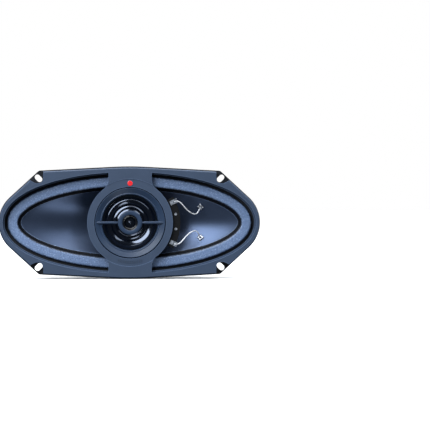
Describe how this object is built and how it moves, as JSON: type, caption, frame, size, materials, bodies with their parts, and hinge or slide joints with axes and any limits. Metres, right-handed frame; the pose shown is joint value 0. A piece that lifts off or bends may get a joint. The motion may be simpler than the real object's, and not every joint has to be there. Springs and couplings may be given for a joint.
{
  "type": "coaxial car speaker",
  "caption": "Oval two-way car speaker: pressed steel basket, moulded front trim, and a bridge across the cone that carries the tweeter.",
  "frame": {"origin": "centre of the flange's rear face, on the cone's axis", "axes": "+X along the long way, towards the terminals; +Y backwards, into the panel; +Z along the short way, up"},
  "size_m": [0.26, 0.0813, 0.1118],
  "materials": {
    "basket": "black baked paint, satin, thin on the edges",
    "trim": "dark blue-grey moulded plastic, fine grain",
    "rib": "same moulded plastic, polished tops",
    "red": "red, glossy",
    "plate": "zinc plated, turned",
    "ferrite": "sintered ferrite, dark grey",
    "spider": "phenolic-treated cotton, amber",
    "foam": "blue-grey speckled foam, dark at its feet",
    "cone": "dark mica-filled polypropylene, smooth, glossy",
    "cap": "as the cone",
    "former": "brown film",
    "copper": "enamelled copper wire",
    "face": "dark blue-grey plastic, fine grain",
    "film": "thin dark film, glossy",
    "black": "black moulded plastic",
    "neodymium": "nickel plated",
    "screw": "black oxide",
    "board": "black laminated paper",
    "tin": "tinned",
    "sleeve": "shrunk plastic sleeve, dark blue",
    "braid": "tinned tinsel braid",
    "wire_red": "red insulation",
    "wire_black": "black insulation"
  },
  "bodies": {
    "chassis": {"basket": "basket", "front_trim": "trim", "trim_ribs": "rib", "red_inlay": "red", "plate_rivets": "plate", "front_plate": "plate", "magnet": "ferrite", "yoke": "plate", "spider": "spider", "surround": "foam", "tweeter_faceplate": "face", "tweeter_surround": "film", "tweeter_frame": "black", "tweeter_plate": "plate", "tweeter_magnet": "neodymium", "tweeter_yoke": "plate", "tweeter_screws": "screw", "tag_strip": "board", "upper_lug": "tin", "lower_lug": "tin", "strip_rivets": "tin", "capacitor": "sleeve", "upper_front_lead": "braid", "lower_front_lead": "braid", "upper_rear_lead": "braid", "lower_rear_lead": "braid", "tweeter_wire_positive": "wire_red", "tweeter_wire_negative": "wire_black", "terminal_block": "black", "positive_blade": "tin", "negative_blade": "tin"},
    "cone_assembly": {"cone": "cone", "dust_cap": "cap", "coil_former": "former", "voice_coil": "copper", "upper_eyelet": "tin", "lower_eyelet": "tin"},
    "tweeter_dome": {"tweeter_diaphragm": "film", "tweeter_coil": "copper"}
  },
  "joints": [
    {"name": "cone_travel", "type": "slide", "parent": "chassis", "child": "cone_assembly", "axis": [0, -1, 0], "range_m": [-0.004, 0.004], "stiffness_N_per_m": 1800, "deforming": ["surround", "spider", "upper_front_lead", "lower_front_lead", "upper_rear_lead", "lower_rear_lead"]},
    {"name": "tweeter_travel", "type": "slide", "parent": "chassis", "child": "tweeter_dome", "axis": [0, -1, 0], "range_m": [-0.0003, 0.0003], "stiffness_N_per_m": 3000, "deforming": ["tweeter_surround"]}
  ]
}
